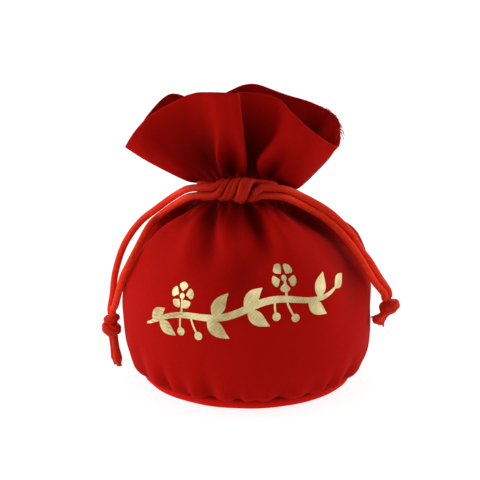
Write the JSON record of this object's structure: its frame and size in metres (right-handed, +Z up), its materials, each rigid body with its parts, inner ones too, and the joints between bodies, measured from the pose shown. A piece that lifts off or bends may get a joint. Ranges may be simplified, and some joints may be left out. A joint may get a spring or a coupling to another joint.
{
  "type": "drawstring pouch",
  "caption": "Round-based gift pouch, standing full, gathered at the neck by a pair of drawcords tied in a half-knot, with a ruffled mouth above and cord ends with stop knots over both shoulders",
  "frame": {"origin": "centre of the round base, on the surface that the pouch stands on", "axes": "+Z up; -Y is the front, with the half-knot; +X is to the right of someone who looks at the front"},
  "size_m": [0.1025, 0.0846, 0.1015],
  "materials": {
    "pouch_cloth": "deep red fine cloth with a soft sheen",
    "lining_cloth": "the same red cloth, turned in",
    "satin_cord": "bright red twisted satin cord",
    "base_card": "plain grey-brown card"
  },
  "bodies": {
    "pouch": {"base_cover": "pouch_cloth", "base_board": "base_card", "wall_front": "pouch_cloth", "wall_back": "pouch_cloth", "channel_facing": "lining_cloth", "drawcord_lower": "satin_cord", "drawcord_upper": "satin_cord"},
    "front_lip": {"ruffle_front": "pouch_cloth"},
    "back_lip": {"ruffle_back": "pouch_cloth"},
    "left_end": {"left_outer_strand": "satin_cord", "left_inner_strand": "satin_cord"},
    "left_knot": {"left_stop_knot": "satin_cord", "left_outer_tail": "satin_cord", "left_inner_tail": "satin_cord"},
    "right_end": {"right_outer_strand": "satin_cord", "right_inner_strand": "satin_cord"},
    "right_knot": {"right_stop_knot": "satin_cord", "right_outer_tail": "satin_cord", "right_inner_tail": "satin_cord"}
  },
  "joints": [
    {"name": "front_lip_fold", "type": "hinge", "parent": "pouch", "child": "front_lip", "pos_m": [0, -0.0146, 0.074], "axis": [1, 0, 0], "range_deg": [0, 20]},
    {"name": "back_lip_fold", "type": "hinge", "parent": "pouch", "child": "back_lip", "pos_m": [0, 0.0146, 0.074], "axis": [-1, 0, 0], "range_deg": [0, 20]},
    {"name": "left_end_swing", "type": "hinge", "parent": "pouch", "child": "left_end", "pos_m": [-0.03, -0.0034, 0.0587], "axis": [0, 1, 0], "range_deg": [0, 70]},
    {"name": "right_end_swing", "type": "hinge", "parent": "pouch", "child": "right_end", "pos_m": [0.0262, -0.0108, 0.0598], "axis": [0, -1, 0], "range_deg": [0, 60]},
    {"name": "left_cord_draw", "type": "slide", "parent": "left_end", "child": "left_knot", "axis": [0, 0, 1], "range_m": [0, 0.012], "deforming": ["left_outer_strand", "left_inner_strand"]},
    {"name": "right_cord_draw", "type": "slide", "parent": "right_end", "child": "right_knot", "axis": [0, 0, 1], "range_m": [0, 0.018], "deforming": ["right_outer_strand", "right_inner_strand"]}
  ]
}
